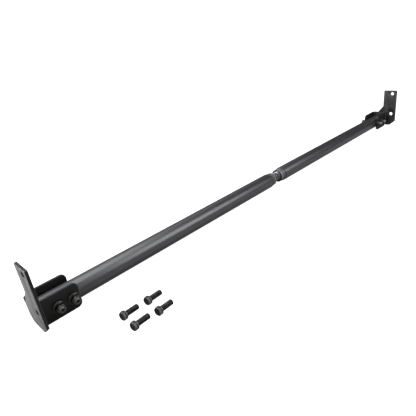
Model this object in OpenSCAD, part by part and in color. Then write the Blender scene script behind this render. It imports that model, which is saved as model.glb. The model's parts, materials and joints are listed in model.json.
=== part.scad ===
// Adjustable cargo bar for the bed of a pickup truck.
// Two steel tube halves meet at a threaded adjuster in the middle. Each half ends in
// a bent U-shaped clevis, held by two cross bolts, and each clevis is welded to a
// flat, stepped plate that bolts to the side of the bed. Four loose bolts for the
// plates lie beside the bar.
//
// X runs along the bar, Y points to the far side and Z is up, all in millimetres.
// The origin is on the axis of the tubes, half way between the two end plates.

/* [Bar] */
// Length over the outer faces of the two end plates
overall_length = 1366; // [1200:1:1600]
// Outside diameter of both tubes
tube_d = 38.1; // [36:0.1:42]
// Wall thickness of both tubes
tube_wall = 2.5; // [2:0.1:3]

/* [Adjuster] */
// Clear gap between the two collars at rest
collar_gap = 25; // [15:0.5:50]
// Length of each collar outside its tube
collar_nose_l = 18.5; // [16:0.5:24]
// Length of each collar's spigot inside its tube
collar_spigot_l = 32; // [24:1:45]
// Diameter of the stud over its threads
stud_d = 25.4; // [22:0.1:25.4]
// Overall length of the stud
stud_l = 180; // [140:1:200]
// Depth of the open mouth in each collar
mouth_depth = 11; // [6:0.5:14]

/* [End plate] */
// Thickness of the plate
plate_t = 5; // [4:0.5:8]
// Height of the plate above the tube axis
plate_top = 105; // [95:1:125]
// Depth of the plate below the tube axis
plate_drop = 20; // [18:0.5:22]
// Distance from the tube axis to the straight near edge
plate_near = 57; // [54:0.5:64]
// Width of the upright arm
arm_w = 44.5; // [40:0.5:48]
// Diameter of the two bolt holes
hole_d = 12; // [9:0.5:13]
// Distance from the near edge to the bolt holes
hole_inset = 15.5; // [12:0.5:18]
// Height of the lower bolt hole above the tube axis
hole_low = 21.5; // [18:0.5:28]
// Distance between the two bolt holes
hole_pitch = 72.5; // [60:0.5:80]

/* [Clevis] */
// Thickness of the bent strip
strip_t = 4.5; // [4:0.25:6]
// Length of the ears, from the face of the plate
ear_l = 73; // [68:1:90]
// Height of the clevis above the tube axis
clevis_top = 27.5; // [24:0.5:32]
// Depth of the clevis below the tube axis
clevis_drop = 22.5; // [22:0.5:26]
// Outside radius of the two bends
bend_r = 8.5; // [7:0.5:10]
// Corner radius at the free end of each ear
ear_r = 10; // [5:0.5:14]
// Gap between the tube and each ear
side_gap = 0.25; // [0.1:0.05:0.5]

/* [Cross bolts] */
// Distance from the face of the plate to the outer cross bolt
bolt_outer = 33; // [30:1:36]
// Distance between the two cross bolts
bolt_pitch = 28; // [25:1:30]
// Diameter of the cross bolts
bolt_d = 10; // [8:0.5:10]
// Height of the heads of the cross bolts
cross_head_h = 13; // [9:0.5:14]
// Overall height of their lock nuts
nut_h = 13.5; // [12:0.5:14]
// Length of the cross bolts under the head
bolt_l = 62; // [60:1:70]

/* [Loose bolts] */
// Diameter of the loose bolts
loose_d = 10; // [8:0.5:10]
// Length of the loose bolts under the head
loose_l = 28; // [16:1:40]
// Turn of the loose bolts away from the direction of the bar
loose_yaw = 8; // [-10:1:20]

/* [Hidden] */

$fn = 48;
eps = 0.01;

LEFT = -1;
RIGHT = 1;

// Distance from the middle of the bar to the inner face of each plate
face_x = overall_length / 2 - plate_t;
tube_r = tube_d / 2;
bore_r = tube_r - tube_wall;
gap_half = collar_gap / 2;
// Where each tube starts, next to the shoulder of its collar
seat_x = gap_half + collar_nose_l;
// Where each tube ends, just short of the web of its clevis
tube_end_x = face_x - strip_t - 2;

// Half of the outside width of a clevis
clevis_half = tube_r + side_gap + strip_t;
floor_z = -clevis_drop;

// Running clearance of the threads, and clearance of the cross bolts in their holes
thread_gap = 0.05;
cross_hole_d = bolt_d + 0.5;

// Flanged hexagons, from across flats, overall height, flange diameter and flange edge
cross_af = 1.5 * bolt_d;
cross_flange_d = 2.18 * bolt_d;
nut_hex_h = nut_h - 3;
nut_collar_d = 1.36 * bolt_d;
loose_af = 1.4 * loose_d;
loose_head_h = 0.74 * loose_d;
loose_flange_d = 1.56 * loose_d;
flange_edge = 2;
tip_chamfer = 1.2;

// Outline of an end plate as [y, z] points, clockwise from the top of the near edge
far_y = 14;
step_y = arm_w - plate_near;
plate_outline = [
    [-plate_near, plate_top],
    [step_y, plate_top],
    [step_y, 49],
    [far_y, 16],
    [far_y - 1, -8],
    [3, -plate_drop],
    [-plate_near + 18, -plate_drop],
    [-plate_near, -5]
];

// Head centre of each loose bolt on the ground, as [x, y]
loose_places = [[-578.5, -118], [-530, -120], [-581.5, -153], [-535.5, -157]];

// Puts a child modelled at the right end on the named side
module on_side(side) {
    mirror([side < 0 ? 1 : 0, 0, 0])
        children();
}

// The same, with the origin moved to the inner face of the end plate
module at_plate(side) {
    on_side(side)
        translate([face_x, 0, 0])
            children();
}

// The piece cut away to round a square corner whose tip is at the origin
module corner_cut(r) {
    translate([-r, -r])
        difference() {
            square(r + 1);
            circle(r);
        }
}

// A rectangle from [x0, y0] to [0, y1] with two round corners at x = 0
module d_outline(x0, y0, y1, r) {
    translate([x0, y0])
        square([-x0 - r, y1 - y0]);
    translate([-r - eps, y0 + r])
        square([r + eps, y1 - y0 - 2 * r]);
    for (y = [y0 + r, y1 - r])
        translate([-r, y])
            circle(r);
}

// A hexagon with a round flange under it and a chamfered crown, standing on z = 0
module flanged_hex(af, h, flange_d) {
    crown_d = 0.95 * af;
    cylinder(d = flange_d, h = flange_edge);
    translate([0, 0, flange_edge])
        cylinder(d1 = flange_d - 0.8, d2 = af, h = 0.2 * h);
    intersection() {
        cylinder(d = af / cos(30), h = h, $fn = 6);
        cylinder(d1 = crown_d + 2 * h / tan(30), d2 = crown_d, h = h);
    }
}

// A flange bolt with its shank along +Z, seated at z = 0
module flange_bolt(d, l, af, head_h, flange_d) {
    mirror([0, 0, 1])
        flanged_hex(af, head_h, flange_d);
    cylinder(d = d, h = l - tip_chamfer);
    translate([0, 0, l - tip_chamfer])
        cylinder(d1 = d, d2 = d - 2 * tip_chamfer, h = tip_chamfer);
}

// A weld bead with round ends, from z0 to z1
module bead(r, z0, z1) {
    translate([0, 0, z0 + r])
        cylinder(r = r, h = z1 - z0 - 2 * r);
    for (z = [z0 + r, z1 - r])
        translate([0, 0, z])
            sphere(r);
}

// Flat plate that bolts to the bed side
module end_plate(side) {
    color("#4a4a4c")
        at_plate(side)
            difference() {
                rotate([90, 0, 90])
                    linear_extrude(plate_t)
                        difference() {
                            polygon(plate_outline);
                            translate([step_y, plate_top])
                                corner_cut(2);
                            translate([-plate_near, plate_top])
                                mirror([1, 0])
                                    corner_cut(2);
                        }
                for (i = [0, 1])
                    translate([-1, hole_inset - plate_near, hole_low + i * hole_pitch])
                        rotate([0, 90, 0])
                            cylinder(d = hole_d, h = plate_t + 2);
            }
}

// Outer shape of a clevis, with its web against x = 0 and its ears towards -x
module clevis_blank() {
    translate([0, 0, -clevis_drop])
        linear_extrude(clevis_top + clevis_drop)
            d_outline(-ear_l, -clevis_half, clevis_half, bend_r);
}

// Strip bent into a U that takes the end of the tube
module clevis(side) {
    inner_half = tube_r + side_gap;
    color("#262627")
        at_plate(side)
            difference() {
                intersection() {
                    clevis_blank();
                    mirror([1, 0, 0])
                        rotate([90, 0, 0])
                            linear_extrude(3 * clevis_half, center = true)
                                translate([ear_l, 0])
                                    d_outline(-ear_l, -clevis_drop, clevis_top, ear_r);
                }
                translate([-strip_t, 0, -clevis_drop - 1])
                    linear_extrude(clevis_top + clevis_drop + 2)
                        d_outline(-ear_l, -inner_half, inner_half, bend_r - strip_t);
                cross_holes(3 * clevis_half);
            }
}

// Holes for the two cross bolts, measured from the face of the plate
module cross_holes(l) {
    for (i = [0, 1])
        translate([-bolt_outer - i * bolt_pitch, 0, 0])
            rotate([90, 0, 0])
                cylinder(d = cross_hole_d, h = l, center = true);
}

// Weld beads between the bends of the clevis and the plate
module weld(side) {
    color("#303031")
        at_plate(side)
            difference() {
                union() {
                    translate([-1, -clevis_half + 0.8, 0])
                        bead(3.2, -16, 25);
                    translate([0.8, far_y + 4.5, 0])
                        bead(3.8, 11, 25);
                }
                clevis_blank();
                translate([0, -plate_near, -plate_drop])
                    cube([plate_t, plate_near + far_y, plate_drop + plate_top]);
            }
}

// Round tube of one half, with cross holes for the clevis bolts
module tube(side) {
    color("#3a3a3c")
        on_side(side)
            difference() {
                translate([seat_x, 0, 0])
                    rotate([0, 90, 0])
                        cylinder(r = tube_r, h = tube_end_x - seat_x, $fn = 72);
                translate([seat_x - 1, 0, 0])
                    rotate([0, 90, 0])
                        cylinder(r = bore_r, h = tube_end_x - seat_x + 2, $fn = 72);
                translate([face_x, 0, 0])
                    cross_holes(2 * tube_d);
            }
}

// Stepped, tapered collar that closes the tube and carries the thread
module collar(side) {
    // Outline as [radius, distance from the rim]
    rim_r = tube_r - 2;
    mouth_r = rim_r - 1;
    band_l = 0.4 * collar_nose_l;
    joint_r = tube_r - 1.2;
    spigot_r = bore_r - thread_gap;
    thread_r = stud_d / 2 + thread_gap;
    end_l = collar_nose_l + collar_spigot_l;
    outline = [
        [mouth_r, 0.3],
        [mouth_r + 0.3, 0],
        [rim_r - 0.4, 0],
        [rim_r, 0.4],
        [rim_r + 0.3, band_l],
        [rim_r - 0.3, band_l + 0.4],
        [rim_r - 0.3, band_l + 1.4],
        [rim_r + 0.6, band_l + 1.8],
        [tube_r - 0.3, collar_nose_l - 2.4],
        [joint_r, collar_nose_l - 1.6],
        [joint_r, collar_nose_l],
        [spigot_r, collar_nose_l],
        [spigot_r, end_l - 1],
        [spigot_r - 1, end_l],
        [thread_r, end_l],
        [thread_r, mouth_depth + 1.5],
        [thread_r + 1.2, mouth_depth],
        [mouth_r - 1.5, mouth_depth]
    ];
    color("#404042")
        on_side(side)
            translate([gap_half, 0, 0])
                rotate([0, 90, 0])
                    rotate_extrude($fn = 72)
                        polygon(outline);
}

// Cross bolt of one clevis, counted from the plate, with its head on the far side
module cross_bolt(side, i) {
    color("#2b2b2c")
        at_plate(side)
            translate([-bolt_outer - i * bolt_pitch, clevis_half, 0])
                rotate([90, 30, 0])
                    flange_bolt(bolt_d, bolt_l, cross_af, cross_head_h, cross_flange_d);
}

// Flanged lock nut of a cross bolt, seated on the near ear, with a round locking
// collar beyond its hexagon
module flange_nut(side, i) {
    collar_edge = 0.6;
    color("#39382f")
        at_plate(side)
            translate([-bolt_outer - i * bolt_pitch, -clevis_half, 0])
                rotate([90, 0, 0])
                    difference() {
                        union() {
                            rotate([0, 0, 12])
                                flanged_hex(cross_af, nut_hex_h, cross_flange_d);
                            cylinder(d = nut_collar_d, h = nut_h - collar_edge);
                            translate([0, 0, nut_h - collar_edge])
                                cylinder(
                                    d1 = nut_collar_d,
                                    d2 = nut_collar_d - 2 * collar_edge,
                                    h = collar_edge
                                );
                        }
                        translate([0, 0, -1])
                            cylinder(r = bolt_d / 2 + thread_gap, h = nut_h + 2);
                    }
}

// Threaded stud between the two collars
module adjuster_stud() {
    color("#48484a")
        rotate([0, 90, 0])
            for (up = [0, 1])
                mirror([0, 0, up])
                    union() {
                        cylinder(d = stud_d, h = stud_l / 2 - 2, $fn = 72);
                        translate([0, 0, stud_l / 2 - 2])
                            cylinder(d1 = stud_d, d2 = stud_d - 4, h = 2, $fn = 72);
                    }
}

// Loose bolt that rests on the rim of its flange and the tip of its shank, a flat
// of its hexagon facing down
module loose_bolt(i) {
    rise = loose_flange_d / 2 - loose_d / 2;
    tilt = atan(rise / (loose_l - tip_chamfer));
    color("#2b2b2c")
        translate(concat(loose_places[i], [floor_z + loose_flange_d / 2 * cos(tilt)]))
            rotate([0, 90 + tilt, loose_yaw])
                rotate([0, 0, 30])
                    flange_bolt(loose_d, loose_l, loose_af, loose_head_h, loose_flange_d);
}

end_plate(LEFT);  // plate_left
clevis(LEFT);  // clevis_left
weld(LEFT);  // weld_left
tube(LEFT);  // tube_left
collar(LEFT);  // collar_left
cross_bolt(LEFT, 0);  // cross_bolt_left_1
cross_bolt(LEFT, 1);  // cross_bolt_left_2
flange_nut(LEFT, 0);  // flange_nut_left_1
flange_nut(LEFT, 1);  // flange_nut_left_2
end_plate(RIGHT);  // plate_right
clevis(RIGHT);  // clevis_right
weld(RIGHT);  // weld_right
tube(RIGHT);  // tube_right
collar(RIGHT);  // collar_right
cross_bolt(RIGHT, 0);  // cross_bolt_right_1
cross_bolt(RIGHT, 1);  // cross_bolt_right_2
flange_nut(RIGHT, 0);  // flange_nut_right_1
flange_nut(RIGHT, 1);  // flange_nut_right_2
adjuster_stud();
loose_bolt(0);  // loose_bolt_1
loose_bolt(1);  // loose_bolt_2
loose_bolt(2);  // loose_bolt_3
loose_bolt(3);  // loose_bolt_4
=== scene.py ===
"""Looks of the adjustable bed cargo bar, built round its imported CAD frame.

Shapes are worked out in millimetres round a local Z axis, then placed in the frame,
which is in metres: X along the bar, Y to the far side, Z up, origin on the axis of
the tubes in the middle of the bar.
"""

import json
import math

import bmesh
import bpy
from mathutils import Matrix, Vector, noise


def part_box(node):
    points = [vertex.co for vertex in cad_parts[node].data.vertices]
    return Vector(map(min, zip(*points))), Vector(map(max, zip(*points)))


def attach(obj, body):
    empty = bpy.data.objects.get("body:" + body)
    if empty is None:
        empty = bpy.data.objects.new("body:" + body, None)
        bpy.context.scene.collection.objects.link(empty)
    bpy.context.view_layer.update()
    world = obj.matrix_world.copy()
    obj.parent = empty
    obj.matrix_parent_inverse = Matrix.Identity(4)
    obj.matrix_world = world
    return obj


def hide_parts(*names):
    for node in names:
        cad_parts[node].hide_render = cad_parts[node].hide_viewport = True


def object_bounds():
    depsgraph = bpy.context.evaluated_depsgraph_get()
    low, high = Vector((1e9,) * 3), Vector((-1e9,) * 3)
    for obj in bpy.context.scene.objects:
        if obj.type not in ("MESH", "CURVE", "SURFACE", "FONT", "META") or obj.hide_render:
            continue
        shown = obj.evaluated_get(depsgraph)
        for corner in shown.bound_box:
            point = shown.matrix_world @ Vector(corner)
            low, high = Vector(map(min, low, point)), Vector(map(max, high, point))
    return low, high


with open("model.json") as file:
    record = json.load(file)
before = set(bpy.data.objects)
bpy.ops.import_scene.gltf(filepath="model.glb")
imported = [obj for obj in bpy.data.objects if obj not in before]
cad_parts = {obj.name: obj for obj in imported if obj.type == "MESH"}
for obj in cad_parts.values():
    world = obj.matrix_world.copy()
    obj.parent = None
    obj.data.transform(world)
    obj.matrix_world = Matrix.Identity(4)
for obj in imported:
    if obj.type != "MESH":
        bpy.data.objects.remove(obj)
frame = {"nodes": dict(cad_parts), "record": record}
cad_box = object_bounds()

MM = 0.001
TAU = 2 * math.pi
SIDES = {"left": -1, "right": 1}
BODIES = frame["record"]["behaviour"]["bodies"]
BODY_OF = {node: body for body, nodes in BODIES.items() for node in nodes}

# Bolts and nuts, in mm, with "af" for the width across the flats. All have a flange with
# an upright edge, and a slope from it up to the hexagon.
FLANGE_EDGE = 2.0
RIM_SLOPE = 0.05
RIM_INSET = 0.4
SLOPE_SHARE = 0.2
CROWN_SHARE = 0.95
CROSS = {"d": 10, "af": 15, "head_h": 13, "flange_d": 21.8, "pitch": 1.5, "thread_l": 28}
LOOSE = {"d": 10, "af": 14, "head_h": 7.4, "flange_d": 15.6, "pitch": 1.5, "thread_l": 27}
NUT_H = 13.5
NUT_HEX_H = 10.5
NUT_COLLAR_R = 6.8
NUT_TURN = math.radians(18)
TIP_CHAMFER = 1.2
TIP_CUP_R = 3.0
TIP_CUP_DEPTH = 0.8
LOOSE_LENGTH = 28
LOOSE_YAW = math.radians(8)

# Tubes and adjuster stud, in mm
TUBE_WALL = 2.5
STUD_PITCH = 3.175
STUD_WAIST = 3.0

# Edge rounding of the bent and cut steel, in mm
PLATE_EDGE = 0.45
CLEVIS_EDGE = 0.8


# ---------------------------------------------------------------- mesh helpers

def skin_rings(rows, segments, closed=False):
    """A bmesh skinned over rings round the local Z axis.

    Each row is (height, radius, material index). A radius is a number or a function
    of the angle, and 0 closes an end. With closed, the last ring joins the first.
    """
    bm = bmesh.new()
    rings = []
    for height, radius, _ in rows:
        if radius == 0:
            rings.append([bm.verts.new((0, 0, height))])
            continue
        ring = []
        for i in range(segments):
            angle = TAU * i / segments
            r = radius(angle) if callable(radius) else radius
            ring.append(bm.verts.new((r * math.cos(angle), r * math.sin(angle), height)))
        rings.append(ring)
    followers = rings[1:] + (rings[:1] if closed else [])
    for (_, _, index), lower, upper in zip(rows, rings, followers):
        for i in range(segments):
            j = (i + 1) % segments
            corners = [
                lower[i % len(lower)],
                lower[j % len(lower)],
                upper[j % len(upper)],
                upper[i % len(upper)],
            ]
            face = bm.faces.new(list(dict.fromkeys(corners)))
            face.material_index = index
    bmesh.ops.recalc_face_normals(bm, faces=bm.faces)
    return bm


def rounded(outline, radius, steps=4, closed=False):
    """The (height, radius) points of an outline with an arc-like curve at each corner."""
    points = [Vector(p) for p in outline]
    count = len(points)
    made = []
    for i, corner in enumerate(points):
        if not closed and i in (0, count - 1):
            made.append(corner)
            continue
        before = points[i - 1] - corner
        after = points[(i + 1) % count] - corner
        reach_in = min(radius, before.length / 2.1)
        reach_out = min(radius, after.length / 2.1)
        start = corner + before.normalized() * reach_in
        end = corner + after.normalized() * reach_out
        for step in range(steps + 1):
            t = step / steps
            made.append(start * (1 - t) ** 2 + corner * 2 * t * (1 - t) + end * t * t)
    return [(p.x, p.y) for p in made]


def finish_piece(name, bm, nodes, materials, smooth_angle=35):
    """Makes an object of a bmesh in metres that stands for CAD nodes and rides with them."""
    mesh = bpy.data.meshes.new(name)
    bm.to_mesh(mesh)
    bm.free()
    for material in materials:
        mesh.materials.append(material)
    mesh.shade_smooth()
    mesh.set_sharp_from_angle(angle=math.radians(smooth_angle))
    piece = bpy.data.objects.new(name, mesh)
    bpy.context.scene.collection.objects.link(piece)
    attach(piece, BODY_OF[nodes[0]])
    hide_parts(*nodes)
    return piece


def along(axis, origin):
    """Matrix that puts a shape made in mm round +Z along an axis of the frame."""
    turn = Vector(axis).to_track_quat("Z", "X").to_matrix().to_4x4()
    return Matrix.Translation(origin) @ turn @ Matrix.Scale(MM, 4)


def softened(node, edge):
    """A copy of a CAD node's mesh with its sharp edges rounded, faces there as material 1."""
    same_place = 0.002 * MM
    same_plane = math.radians(0.5)
    bm = bmesh.new()
    bm.from_mesh(frame["nodes"][node].data)
    bmesh.ops.remove_doubles(bm, verts=bm.verts, dist=same_place)
    bmesh.ops.dissolve_limit(bm, angle_limit=same_plane, verts=bm.verts, edges=bm.edges)
    for face in bm.faces:
        face.material_index = 0
    sharp = [
        e for e in bm.edges
        if len(e.link_faces) == 2 and e.calc_face_angle() > math.radians(30)
    ]
    bmesh.ops.bevel(
        bm, geom=sharp, offset=edge * MM, segments=3, profile=0.5,
        affect="EDGES", clamp_overlap=True, material=1,
    )
    return bm


# ------------------------------------------------------------ threads and heads

# A 60 degree thread: its depth, its flat crest and its flanks as shares of the pitch
THREAD_DEPTH = 0.6134
CREST_SHARE = 0.125
FLANK_SHARE = 0.625


def thread_radius(major, pitch, height, hand, depth_scale=1.0):
    """Radius of a 60 degree thread at a height, as a function of the angle."""
    depth = THREAD_DEPTH * pitch * depth_scale

    def radius(angle):
        phase = (height / pitch - hand * angle / TAU) % 1
        from_crest = abs(2 * phase - 1)
        flank = min(max((from_crest - CREST_SHARE) / FLANK_SHARE, 0), 1)
        return major - depth * flank

    return radius


def thread_rows(major, pitch, start, end, hand=1, fade_in=0.0, fade_out=0.0, index=0):
    """Rows of a thread from start to end, that fades at its ends over some length."""
    per_turn = 12
    count = max(2, round((end - start) / pitch * per_turn))
    rows = []
    for i in range(count + 1):
        height = start + (end - start) * i / count
        strength = 1.0
        if fade_in:
            strength = min(strength, (height - start) / fade_in)
        if fade_out:
            strength = min(strength, (end - height) / fade_out)
        rows.append((height, thread_radius(major, pitch, height, hand, strength), index))
    return rows


def head_radius(size, height, total_h):
    """Radius of a flanged hexagon at a height, as a function of the angle."""
    slope_h = SLOPE_SHARE * total_h
    flange_r = size["flange_d"] / 2 - RIM_INSET
    flat_r = size["af"] / 2
    corner_r = 1.145 * flat_r
    share = (height - FLANGE_EDGE) / slope_h
    cone_r = flange_r + (flat_r - flange_r) * share if share < 1 else 0
    crown_r = CROWN_SHARE * flat_r + (total_h - height) / math.tan(math.radians(30))

    def radius(angle):
        turn = angle % (math.pi / 3) - math.pi / 6
        hexagon = min(flat_r / math.cos(turn), corner_r)
        return max(cone_r, min(hexagon, crown_r))

    return radius


def head_rows(size, total_h):
    """Rows of a flanged hexagon from its seat at height 0 up to its crown."""
    steps = 5
    flange_r = size["flange_d"] / 2
    seat_r = flange_r - 1.5
    rim_top = FLANGE_EDGE + RIM_SLOPE
    rim = rounded(
        [(0, seat_r), (0, flange_r), (FLANGE_EDGE, flange_r - RIM_SLOPE),
         (rim_top, flange_r - RIM_INSET)],
        0.5,
    )
    rows = [(height, radius, 1) for height, radius in rim]
    slope_top = FLANGE_EDGE + SLOPE_SHARE * total_h
    for step in range(1, steps + 1):
        height = rim_top + (slope_top - rim_top) * step / steps
        rows.append((height, head_radius(size, height, total_h), 0))
    chamfer_h = 0.075 * size["af"]
    rows.append((total_h - chamfer_h, head_radius(size, total_h - chamfer_h, total_h), 1))
    for step in range(1, steps + 1):
        height = total_h - chamfer_h * (1 - step / steps)
        rows.append((height, head_radius(size, height, total_h), 1))
    return rows


def flange_bolt(size, length):
    """Bolt along +Z with its seat at height 0 and its head below, as a bmesh in mm.

    Material 0 is the hexagon, 1 its edges, painted lighter as a highlight, 2 the two end
    faces, painted darker as shade, 3 the shank and 4 the ring at the tip, tinted and painted
    lighter as a highlight.
    """
    crown_r = CROWN_SHARE * size["af"] / 2
    crown = -size["head_h"]
    head = [(-h, r, m) for h, r, m in reversed(head_rows(size, size["head_h"]))]
    dish = [
        (crown + 0.35, 0, 2),
        (crown + 0.3, crown_r * 0.7, 2),
        (crown + 0.05, crown_r * 0.88, 2),
    ]
    shank_r = size["d"] / 2
    thread_start = length - size["thread_l"]
    thread_end = length - TIP_CHAMFER
    fillet = [(0, shank_r + 0.6, 3), (0.3, shank_r + 0.1, 3), (0.8, shank_r - 0.1, 3)]
    rows = dish + head + fillet
    rows += thread_rows(
        shank_r - 0.05, size["pitch"], thread_start, thread_end,
        fade_in=size["pitch"], fade_out=0.6 * size["pitch"], index=3,
    )
    rows[-1] = (*rows[-1][:2], 4)
    rows += [
        (length - 0.2, shank_r - TIP_CHAMFER, 4),
        (length, shank_r - TIP_CHAMFER - 0.25, 4),
        (length, TIP_CUP_R, 2),
        (length - TIP_CUP_DEPTH, TIP_CUP_R - 0.4, 2),
        (length - TIP_CUP_DEPTH, 0, 2),
    ]
    return skin_rings(rows, segments=72)


def flange_nut(size):
    """Flanged lock nut seated at height 0, as a bmesh in mm.

    Material 0 is the hexagon, 1 its edges, painted lighter as a highlight, and 2 the locking
    collar, tinted and painted lighter as a highlight.
    """
    bore_r = size["d"] / 2 + 0.05
    countersink_r = bore_r + 0.9
    countersink_depth = 0.8
    rows = [(0, countersink_r, 0)] + head_rows(size, NUT_HEX_H)
    collar = rounded(
        [(NUT_HEX_H, NUT_COLLAR_R), (NUT_H, NUT_COLLAR_R), (NUT_H, bore_r),
         (NUT_HEX_H, bore_r)],
        1.0,
    )
    rows += [(height, radius, 2) for height, radius in collar]
    rows += [(countersink_depth, bore_r, 0)]
    return skin_rings(rows, segments=72, closed=True)


# ------------------------------------------------------------------- materials

def noise_value(tree, scale, detail=3.0, stretch=(1, 1, 1), roughness=0.55):
    """A noise over the object's own coordinates, in features per metre."""
    nodes, links = tree.nodes, tree.links
    coordinates = nodes.new("ShaderNodeTexCoord")
    mapping = nodes.new("ShaderNodeMapping")
    mapping.inputs["Scale"].default_value = stretch
    texture = nodes.new("ShaderNodeTexNoise")
    texture.inputs["Scale"].default_value = scale
    texture.inputs["Detail"].default_value = detail
    texture.inputs["Roughness"].default_value = roughness
    links.new(coordinates.outputs["Object"], mapping.inputs["Vector"])
    links.new(mapping.outputs["Vector"], texture.inputs["Vector"])
    return texture.outputs["Fac"]


def spread(tree, value, low, high, new_low=0.0, new_high=1.0):
    """Maps a value from one range to another, clamped."""
    node = tree.nodes.new("ShaderNodeMapRange")
    tree.links.new(value, node.inputs["Value"])
    for name, number in (
        ("From Min", low), ("From Max", high), ("To Min", new_low), ("To Max", new_high),
    ):
        node.inputs[name].default_value = number
    return node.outputs["Result"]


def mixed(tree, factor, first, second):
    """A colour between two others."""
    node = tree.nodes.new("ShaderNodeMix")
    node.data_type = "RGBA"
    tree.links.new(factor, node.inputs["Factor"])
    for socket, colour in ((node.inputs["A"], first), (node.inputs["B"], second)):
        if isinstance(colour, bpy.types.NodeSocket):
            tree.links.new(colour, socket)
        else:
            socket.default_value = (*colour, 1)
    return node.outputs["Result"]


def start_material(name, specular=0.5, metallic=0.0):
    """An empty principled material and its tree."""
    material = bpy.data.materials.new(name)
    material.use_nodes = True
    tree = material.node_tree
    shader = next(n for n in tree.nodes if n.type == "BSDF_PRINCIPLED")
    shader.inputs["Specular IOR Level"].default_value = specular
    shader.inputs["Metallic"].default_value = metallic
    return material, tree, shader


def bumped(tree, shader, heights):
    """Drives the shader's normal with several (height, distance in mm, strength)."""
    normal = None
    for height, distance, strength in heights:
        node = tree.nodes.new("ShaderNodeBump")
        node.inputs["Distance"].default_value = distance * MM
        node.inputs["Strength"].default_value = strength
        tree.links.new(height, node.inputs["Height"])
        if normal is not None:
            tree.links.new(normal, node.inputs["Normal"])
        normal = node.outputs["Normal"]
    tree.links.new(normal, shader.inputs["Normal"])


def openness_for_painted_shade(tree, distance):
    """1 where the surface is open and 0 in narrow gaps, where shade is painted, over a distance
    in mm.
    """
    node = tree.nodes.new("ShaderNodeAmbientOcclusion")
    node.inputs["Distance"].default_value = distance * MM
    return spread(tree, node.outputs["AO"], 0.35, 0.85)


def powder_coat(name, dark, light, roughness, grain=1.0, specular=0.5, drawn=0.0):
    """Powder coat: orange peel, a fine grain, faint cloudiness and, on a tube, draw lines."""
    material, tree, shader = start_material(name, specular)
    clouds = noise_value(tree, 34, 3)
    peel = noise_value(tree, 620, 2)
    speck = noise_value(tree, 2600, 2)
    tone = mixed(tree, spread(tree, clouds, 0.35, 0.65), dark, light)
    if drawn:
        streaks = noise_value(tree, 1, 4, stretch=(6, 420, 420))
        tone = mixed(tree, spread(tree, streaks, 0.3, 0.8, 0, drawn), tone, light)
    tree.links.new(tone, shader.inputs["Base Color"])
    gloss = spread(tree, peel, 0.3, 0.7, roughness - 0.05, roughness + 0.06)
    tree.links.new(gloss, shader.inputs["Roughness"])
    bumped(tree, shader, [(peel, 0.12, 0.5 * grain), (speck, 0.03, 0.5 * grain)])
    return material


# Painted shade in narrow gaps of the plated pieces: how far it looks, in mm, and its colour
PAINTED_SHADE_REACH = 8
PAINTED_GAP_SHADE = (0.003, 0.003, 0.003)


def plated(name, dark, light, tint, roughness, metallic=0.85):
    """Dark plated steel, cloudy, tinted where the plating is thin, with black painted shade in
    narrow gaps.
    """
    material, tree, shader = start_material(name, 0.5, metallic)
    clouds = noise_value(tree, 260, 4)
    patches = noise_value(tree, 90, 3)
    grains = noise_value(tree, 2200, 2)
    tone = mixed(tree, spread(tree, clouds, 0.35, 0.7), dark, light)
    tone = mixed(tree, spread(tree, patches, 0.5, 0.72, 0, 0.6), tone, tint)
    # Painted shade: the colour goes to near black in narrow gaps and recesses
    tone = mixed(tree, openness_for_painted_shade(tree, PAINTED_SHADE_REACH), PAINTED_GAP_SHADE, tone)
    tree.links.new(tone, shader.inputs["Base Color"])
    gloss = spread(tree, clouds, 0.3, 0.75, roughness - 0.08, roughness + 0.1)
    tree.links.new(gloss, shader.inputs["Roughness"])
    bumped(tree, shader, [(grains, 0.03, 0.5), (clouds, 0.05, 0.3)])
    return material


PLATE_COAT = powder_coat(
    "plate_coat", (0.006, 0.006, 0.0064), (0.010, 0.010, 0.0105), 0.26, 1.0, 0.7
)
PLATE_CUT = powder_coat(
    "plate_cut", (0.003, 0.003, 0.0033), (0.005, 0.005, 0.0054), 0.5, 1.2, 0.3
)
# Rounded edges: lighter, for a thinner coat and a painted highlight
PLATE_RIM_THIN_COAT_AND_HIGHLIGHT = powder_coat(
    "plate_rim_thin_coat_and_highlight", (0.02, 0.02, 0.0205), (0.04, 0.04, 0.0405), 0.3, 0.6, 0.9
)
CLEVIS_COAT = powder_coat(
    "clevis_coat", (0.003, 0.003, 0.0033), (0.005, 0.005, 0.0054), 0.48, 1.2, 0.32
)
# Rounded edges: lighter, for a thinner coat and a painted highlight
CLEVIS_RIM_THIN_COAT_AND_HIGHLIGHT = powder_coat("clevis_rim_thin_coat_and_highlight", (0.009, 0.009, 0.0095), (0.018, 0.018, 0.0185), 0.4)
WELD_COAT = powder_coat("weld_coat", (0.007, 0.007, 0.0075), (0.012, 0.012, 0.0125), 0.36, 1.4)
TUBE_COAT = powder_coat(
    "tube_coat", (0.010, 0.010, 0.0115), (0.015, 0.015, 0.017), 0.33, 0.6, 1.0, drawn=0.5
)
COLLAR_COAT = powder_coat(
    "collar_coat", (0.035, 0.035, 0.038), (0.055, 0.055, 0.058), 0.38, 0.6
)
# Painted highlight: a lighter coat on the collar's rim and the band's edge
COLLAR_HIGHLIGHT = powder_coat(
    "collar_edge", (0.07, 0.07, 0.073), (0.11, 0.11, 0.113), 0.34, 0.6
)
# Painted shade: near black in the collar's bore and in the joint between collar and tube
COLLAR_SHADE = powder_coat(
    "collar_painted_shade", (0.003, 0.003, 0.003), (0.006, 0.006, 0.006), 0.8, 1.0, 0.1
)
STUD_STEEL = plated(
    "stud_steel", (0.16, 0.16, 0.165), (0.28, 0.28, 0.285), (0.2, 0.19, 0.17), 0.42
)
BOLT_BLACK = plated(
    "bolt_black", (0.02, 0.02, 0.02), (0.045, 0.045, 0.044), (0.05, 0.048, 0.042), 0.42
)
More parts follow.
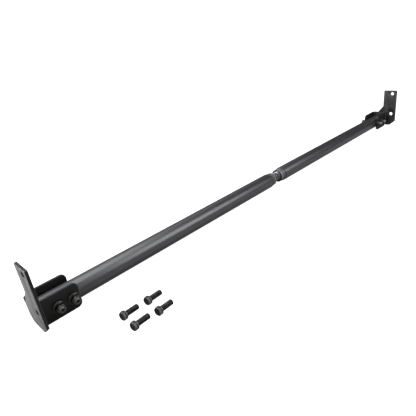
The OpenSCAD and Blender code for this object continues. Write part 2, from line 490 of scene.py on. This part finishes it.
# Painted highlight on the bolts' edges
BOLT_EDGE_HIGHLIGHT = plated(
    "bolt_edge_highlight", (0.03, 0.03, 0.03), (0.06, 0.06, 0.059), (0.06, 0.058, 0.052), 0.4
)
# Ring at the bolt tip: a real yellowish zinc tint, made lighter as a painted highlight
BOLT_RING_TINT_AND_HIGHLIGHT = plated(
    "bolt_ring_tint_and_highlight", (0.10, 0.098, 0.088), (0.19, 0.186, 0.163), (0.22, 0.208, 0.167), 0.36
)
# Painted shade on the bolts' end faces and the cup at the tip
BOLT_END_SHADE = plated(
    "bolt_end_shade", (0.008, 0.008, 0.008), (0.02, 0.02, 0.019), (0.025, 0.024, 0.02), 0.55
)
NUT_DARK = plated(
    "nut_dark", (0.012, 0.012, 0.012), (0.03, 0.03, 0.029), (0.04, 0.039, 0.034), 0.38
)
# Nut collar: a real warm zinc tint, made lighter as a painted highlight
NUT_RING_TINT_AND_HIGHLIGHT = plated(
    "nut_ring_tint_and_highlight", (0.07, 0.069, 0.062), (0.135, 0.131, 0.115), (0.16, 0.152, 0.123), 0.38
)
# Painted highlight on the nuts' edges
NUT_EDGE_HIGHLIGHT = plated(
    "nut_edge_highlight", (0.05, 0.05, 0.049), (0.10, 0.10, 0.097), (0.11, 0.107, 0.095), 0.34
)
# Painted shade: the loose bolts' hexagon darker than their shank
LOOSE_HEAD_SHADE = plated(
    "loose_head_shade", (0.009, 0.009, 0.0095), (0.022, 0.022, 0.022), (0.022, 0.022, 0.02), 0.46
)
# Painted highlight: the loose bolts' shank lighter than their head
LOOSE_SHANK_HIGHLIGHT = plated(
    "loose_shank_highlight", (0.05, 0.05, 0.051), (0.10, 0.10, 0.10), (0.09, 0.088, 0.08), 0.36
)
# Painted highlight on the loose bolts' edges and tip ring
LOOSE_EDGE_HIGHLIGHT = plated(
    "loose_edge_highlight", (0.07, 0.07, 0.07), (0.14, 0.14, 0.14), (0.12, 0.118, 0.11), 0.36
)
# Painted shade on the loose bolts' end faces
LOOSE_END_SHADE = plated(
    "loose_end_shade", (0.007, 0.007, 0.007), (0.018, 0.018, 0.018), (0.02, 0.02, 0.018), 0.55
)


# ---------------------------------------------------------------------- pieces

def centre_of(node):
    """Middle of a CAD node's box."""
    low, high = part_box(node)
    return (low + high) / 2


def make_plate(side):
    """End plate with rounded edges, lighter there for a thinner coat and a painted highlight,
    its cut faces duller than its two broad ones.
    """
    node = f"plate_{side}"
    bm = softened(node, PLATE_EDGE)
    for face in bm.faces:
        if face.material_index == 0 and abs(face.normal.x) < 0.5:
            face.material_index = 2
    finish_piece(f"{node}_coated", bm, [node], [PLATE_COAT, PLATE_RIM_THIN_COAT_AND_HIGHLIGHT, PLATE_CUT])


def make_clevis(side):
    """Bent clevis with rounded strip edges, lighter there for a thinner coat and a painted
    highlight.
    """
    node = f"clevis_{side}"
    bm = softened(node, CLEVIS_EDGE)
    finish_piece(f"{node}_coated", bm, [node], [CLEVIS_COAT, CLEVIS_RIM_THIN_COAT_AND_HIGHLIGHT])


def make_tube(side):
    """Tube with rounded ends and drawn, coated walls."""
    node = f"tube_{side}"
    low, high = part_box(node)
    length = (high.x - low.x) / MM
    outer = (high.z - low.z) / 2 / MM
    bore = outer - TUBE_WALL
    profile = rounded(
        [(0, bore), (0, outer), (length, outer), (length, bore)],
        0.5, closed=True,
    )
    bm = skin_rings([(h, r, 0) for h, r in profile], segments=128, closed=True)
    bm.transform(along((1, 0, 0), (low.x, 0, 0)))
    finish_piece(f"{node}_coated", bm, [node], [TUBE_COAT])


def make_collar(side):
    """Stepped collar with an open mouth, its rim towards the middle of the bar."""
    node = f"collar_{side}"
    low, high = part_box(node)
    sign = SIDES[side]
    rim_x = low.x if sign > 0 else high.x
    tube_low, tube_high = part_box(f"tube_{side}")
    tube_r = tube_high.z / MM
    seat = abs((tube_low.x if sign > 0 else tube_high.x) - rim_x) / MM
    end = (high.x - low.x) / MM
    rim_r = tube_r - 2
    mouth_r = rim_r - 1
    band = 0.4 * seat
    joint = seat - 1.6
    joint_r = tube_r - 1.2
    groove_r = rim_r - 0.3
    spigot_r = tube_r - 2.55
    thread_r = 12.75
    mouth_depth = 11
    outside = rounded(
        [(0, mouth_r), (0, rim_r), (band, rim_r + 0.3), (band + 0.4, groove_r),
         (band + 1.4, groove_r), (band + 1.8, rim_r + 0.6), (joint - 0.8, tube_r - 0.3),
         (joint, joint_r), (seat, joint_r), (seat, spigot_r), (end, spigot_r),
         (end, thread_r)],
        0.45,
    )
    inside = rounded(
        [(end, thread_r), (mouth_depth + 1.5, thread_r), (mouth_depth, thread_r + 1.2),
         (mouth_depth, mouth_r - 1.5), (0.3, mouth_r)],
        0.3,
    )

    def outside_material(height):
        """Painted shadow in the joint, a painted highlight at the rim and the band's edge, and
        coated between.
        """
        if height > joint - 0.4:
            return 1
        return 2 if height < 0.5 or abs(height - band) < 0.3 else 0

    rows = [(h, r, outside_material(h)) for h, r in outside]
    # The bore inside is painted near black as shade
    rows += [(h, r, 1) for h, r in inside[1:]]
    bm = skin_rings(rows, segments=112, closed=True)
    bm.transform(along((sign, 0, 0), (rim_x, 0, 0)))
    # Material 1 is painted shade and material 2 a painted highlight
    finish_piece(f"{node}_turned", bm, [node], [COLLAR_COAT, COLLAR_SHADE, COLLAR_HIGHLIGHT])


def make_stud():
    """Stud with a right-hand and a left-hand thread that meet at a short waist."""
    low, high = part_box("adjuster_stud")
    major = high.z / MM
    half = (high.x - low.x) / 2 / MM
    end_chamfer = 2
    end_r = major - end_chamfer
    waist_r = major - THREAD_DEPTH * STUD_PITCH
    right = [(0, waist_r, 0), (STUD_WAIST / 2, waist_r, 0)]
    right += thread_rows(
        major, STUD_PITCH, start=STUD_WAIST / 2 + 0.4, end=half - end_chamfer,
        fade_out=0.8 * STUD_PITCH,
    )
    right += [(half - 0.3, end_r + 0.1, 0), (half, end_r - 0.3, 0), (half, 0, 0)]

    def mirrored(radius):
        return (lambda angle: radius(-angle)) if callable(radius) else radius

    left = [(-h, mirrored(r), m) for h, r, m in reversed(right[1:])]
    bm = skin_rings(left + right, segments=72)
    bm.transform(along((1, 0, 0), (0, 0, 0)))
    finish_piece("adjuster_stud_threaded", bm, ["adjuster_stud"], [STUD_STEEL])


def make_cross_bolt(side, number):
    """Flange bolt through a clevis, with its head on the far side."""
    node = f"cross_bolt_{side}_{number}"
    low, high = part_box(node)
    seat_y = high.y - CROSS["head_h"] * MM
    bm = flange_bolt(CROSS, (seat_y - low.y) / MM)
    bm.transform(along((0, -1, 0), ((low.x + high.x) / 2, seat_y, 0)))
    # Edges and tip ring carry painted highlights, the end faces painted shade
    materials = [BOLT_BLACK, BOLT_EDGE_HIGHLIGHT, BOLT_END_SHADE, BOLT_BLACK, BOLT_RING_TINT_AND_HIGHLIGHT]
    finish_piece(f"{node}_threaded", bm, [node], materials)


def make_flange_nut(side, number):
    """Flanged lock nut on the near ear of a clevis."""
    node = f"flange_nut_{side}_{number}"
    low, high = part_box(node)
    bm = flange_nut(CROSS)
    bm.transform(Matrix.Rotation(-SIDES[side] * NUT_TURN, 4, "Z"))
    bm.transform(along((0, -1, 0), ((low.x + high.x) / 2, high.y, 0)))
    # Edges and collar carry painted highlights
    finish_piece(f"{node}_faced", bm, [node], [NUT_DARK, NUT_EDGE_HIGHLIGHT, NUT_RING_TINT_AND_HIGHLIGHT])


def make_loose_bolt(number):
    """Loose flange bolt that lies where its CAD node lies."""
    node = f"loose_bolt_{number}"
    rise = (LOOSE["flange_d"] - LOOSE["d"]) / 2
    tilt = math.atan(rise / (LOOSE_LENGTH - TIP_CHAMFER))
    bm = flange_bolt(LOOSE, LOOSE_LENGTH)
    bm.transform(Matrix.Rotation(math.pi / 6, 4, "Z"))
    turn = Matrix.Rotation(LOOSE_YAW, 4, "Z") @ Matrix.Rotation(math.pi / 2 + tilt, 4, "Y")
    bm.transform(turn @ Matrix.Scale(MM, 4))
    low = Vector([min(v.co[i] for v in bm.verts) for i in range(3)])
    high = Vector([max(v.co[i] for v in bm.verts) for i in range(3)])
    bm.transform(Matrix.Translation(centre_of(node) - (low + high) / 2))
    # Head and end faces carry painted shade, shank and edges painted highlights
    materials = [LOOSE_HEAD_SHADE, LOOSE_EDGE_HIGHLIGHT, LOOSE_END_SHADE, LOOSE_SHANK_HIGHLIGHT, LOOSE_EDGE_HIGHLIGHT]
    finish_piece(f"{node}_threaded", bm, [node], materials)


def bead(radius, start, end, ripple, seed):
    """A weld bead along +Z, a row of overlapping ripples, as a bmesh in mm."""
    rings_per_ripple = 10
    rows = [(start, 0, 0)]
    count = round((end - start) / ripple * rings_per_ripple)
    for i in range(1, count):
        height = start + (end - start) * i / count
        edge = min(height - start, end - height)
        cap = math.sqrt(max(0.0, 1 - max(0.0, 1 - edge / radius) ** 2))

        def swell(angle, height=height, cap=cap):
            lag = 0.45 * math.cos(angle)
            phase = ((height / ripple) + lag) % 1
            lump = 1 - 0.11 * phase
            wobble = 0.05 * noise.noise((height * 0.4, math.cos(angle) * 2, seed))
            return radius * cap * (lump + wobble - 0.02)

        rows.append((height, swell, 0))
    rows.append((end, 0, 0))
    return skin_rings(rows, segments=32)


def make_welds(side):
    """The two weld beads between a clevis and its plate."""
    node = f"weld_{side}"
    sign = SIDES[side]
    inset = 0.8 * MM
    far_reach = 4.5 * MM
    plate_low, plate_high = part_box(f"plate_{side}")
    clevis_low, clevis_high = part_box(f"clevis_{side}")
    face_x = plate_low.x if sign > 0 else plate_high.x
    near = bead(radius=3.2, start=-16, end=25, ripple=2.3, seed=1.7)
    near.transform(
        Matrix.Translation((face_x - sign * MM, clevis_low.y + inset, 0))
        @ Matrix.Scale(MM, 4)
    )
    far = bead(radius=3.8, start=11, end=25, ripple=2.6, seed=5.2)
    far.transform(
        Matrix.Translation((face_x + sign * inset, plate_high.y + far_reach, 0))
        @ Matrix.Scale(MM, 4)
    )
    mesh = bpy.data.meshes.new("far_bead")
    far.to_mesh(mesh)
    far.free()
    near.from_mesh(mesh)
    finish_piece(f"{node}_bead", near, [node], [WELD_COAT])


for side_name in SIDES:
    make_plate(side_name)
    make_clevis(side_name)
    make_welds(side_name)
    make_tube(side_name)
    make_collar(side_name)
    for bolt_number in (1, 2):
        make_cross_bolt(side_name, bolt_number)
        make_flange_nut(side_name, bolt_number)
make_stud()
for bolt_number in (1, 2, 3, 4):
    make_loose_bolt(bolt_number)


# ------------------------------------------------------------- floor and light

# Brightness of the surround towards -X and +X, and as the camera sees it
SURROUND_LEFT = 0.9
SURROUND_RIGHT = 0.09
SURROUND_SEEN = 1.1

# Floor: its glow for the camera alone, its grey for light, and half its width in metres
FLOOR_GLOW = 1.0
FLOOR_GREY = 0.3
FLOOR_HALF_SIZE = 30.0

LAMP_COLOUR = (0.97, 0.98, 1.0)


def make_floor():
    """Plain pale floor, on which the camera sees only faint shadows."""
    size = FLOOR_HALF_SIZE
    mesh = bpy.data.meshes.new("floor")
    floor_z = cad_box[0].z
    corners = [(-size, -size), (size, -size), (size, size), (-size, size)]
    mesh.from_pydata([(x, y, floor_z) for x, y in corners], [], [(0, 1, 2, 3)])
    floor = bpy.data.objects.new("floor", mesh)
    bpy.context.scene.collection.objects.link(floor)
    material = bpy.data.materials.new("pale_floor")
    material.use_nodes = True
    tree = material.node_tree
    shader = next(n for n in tree.nodes if n.type == "BSDF_PRINCIPLED")
    shader.inputs["Base Color"].default_value = (FLOOR_GREY, FLOOR_GREY, FLOOR_GREY, 1)
    shader.inputs["Roughness"].default_value = 0.9
    shader.inputs["Specular IOR Level"].default_value = 0.0
    seen = tree.nodes.new("ShaderNodeEmission")
    seen.inputs["Strength"].default_value = FLOOR_GLOW
    path = tree.nodes.new("ShaderNodeLightPath")
    both = tree.nodes.new("ShaderNodeAddShader")
    tree.links.new(path.outputs["Is Camera Ray"], seen.inputs["Color"])
    tree.links.new(shader.outputs["BSDF"], both.inputs[0])
    tree.links.new(seen.outputs["Emission"], both.inputs[1])
    output = next(n for n in tree.nodes if n.type == "OUTPUT_MATERIAL")
    tree.links.new(both.outputs["Shader"], output.inputs["Surface"])
    mesh.materials.append(material)


def make_world():
    """Studio surround: white to the camera, and to the object a dim grey that fades along +X."""
    world = bpy.data.worlds.new("studio")
    bpy.context.scene.world = world
    world.use_nodes = True
    tree = world.node_tree
    background = next(n for n in tree.nodes if n.type == "BACKGROUND")
    coordinates = tree.nodes.new("ShaderNodeTexCoord")
    parts = tree.nodes.new("ShaderNodeSeparateXYZ")
    tree.links.new(coordinates.outputs["Generated"], parts.inputs["Vector"])
    fade = tree.nodes.new("ShaderNodeMapRange")
    fade.inputs["From Min"].default_value = -0.4
    fade.inputs["From Max"].default_value = 0.8
    fade.inputs["To Min"].default_value = SURROUND_LEFT
    fade.inputs["To Max"].default_value = SURROUND_RIGHT
    tree.links.new(parts.outputs["X"], fade.inputs["Value"])
    path = tree.nodes.new("ShaderNodeLightPath")
    strength = tree.nodes.new("ShaderNodeMix")
    tree.links.new(path.outputs["Is Camera Ray"], strength.inputs["Factor"])
    tree.links.new(fade.outputs["Result"], strength.inputs["A"])
    strength.inputs["B"].default_value = SURROUND_SEEN
    tree.links.new(strength.outputs["Result"], background.inputs["Strength"])
    background.inputs["Color"].default_value = (1, 1, 1, 1)


def softbox(name, centre, aim, size, radiance):
    """A rectangular area light that faces a point, by the brightness of its face."""
    light = bpy.data.lights.new(name, "AREA")
    light.shape = "RECTANGLE"
    light.size, light.size_y = size
    light.energy = radiance * math.pi * size[0] * size[1]
    light.color = LAMP_COLOUR
    lamp = bpy.data.objects.new(name, light)
    bpy.context.scene.collection.objects.link(lamp)
    lamp.location = centre
    lamp.visible_camera = False
    direction = Vector(aim) - Vector(centre)
    lamp.rotation_euler = direction.to_track_quat("-Z", "Y").to_euler()


make_floor()
make_world()
softbox("front", centre=(0.5, -0.9, 0.75), aim=(0.5, 0, 0), size=(1.3, 0.9), radiance=3.6)
softbox("overhead", centre=(-0.3, 0.1, 1.3), aim=(-0.3, 0, 0), size=(1.0, 1.2), radiance=2.7)
softbox("back", centre=(0.5, 0.8, 1.2), aim=(0.5, 0, 0), size=(2.0, 0.5), radiance=0.8)
softbox("left", centre=(-1.3, 0.7, 0.9), aim=(-0.8, 0.2, 0), size=(0.9, 0.9), radiance=14.0)


# ---------------------------------------------------------------------- camera

CAMERA_PLACE = (-0.8003, -0.5980, 0.3897)
CAMERA_YAW = 42.172
CAMERA_PITCH = 24.876
CAMERA_ROLL = -7.698
CAMERA_LENS = 33.171
SENSOR = 36.0


def make_camera():
    """Camera at the angle of the picture, from its heading, downward pitch and roll."""
    data = bpy.data.cameras.new("camera")
    data.lens = CAMERA_LENS
    data.sensor_width = SENSOR
    data.clip_start, data.clip_end = 0.01, 100
    camera = bpy.data.objects.new("camera", data)
    bpy.context.scene.collection.objects.link(camera)
    camera.matrix_world = (
        Matrix.Translation(CAMERA_PLACE)
        @ Matrix.Rotation(-math.radians(CAMERA_YAW), 4, "Z")
        @ Matrix.Rotation(math.pi / 2 - math.radians(CAMERA_PITCH), 4, "X")
        @ Matrix.Rotation(math.radians(CAMERA_ROLL), 4, "Z")
    )
    bpy.context.scene.camera = camera


make_camera()
bpy.context.scene.view_settings.view_transform = "Standard"
bpy.context.scene.view_settings.look = "None"
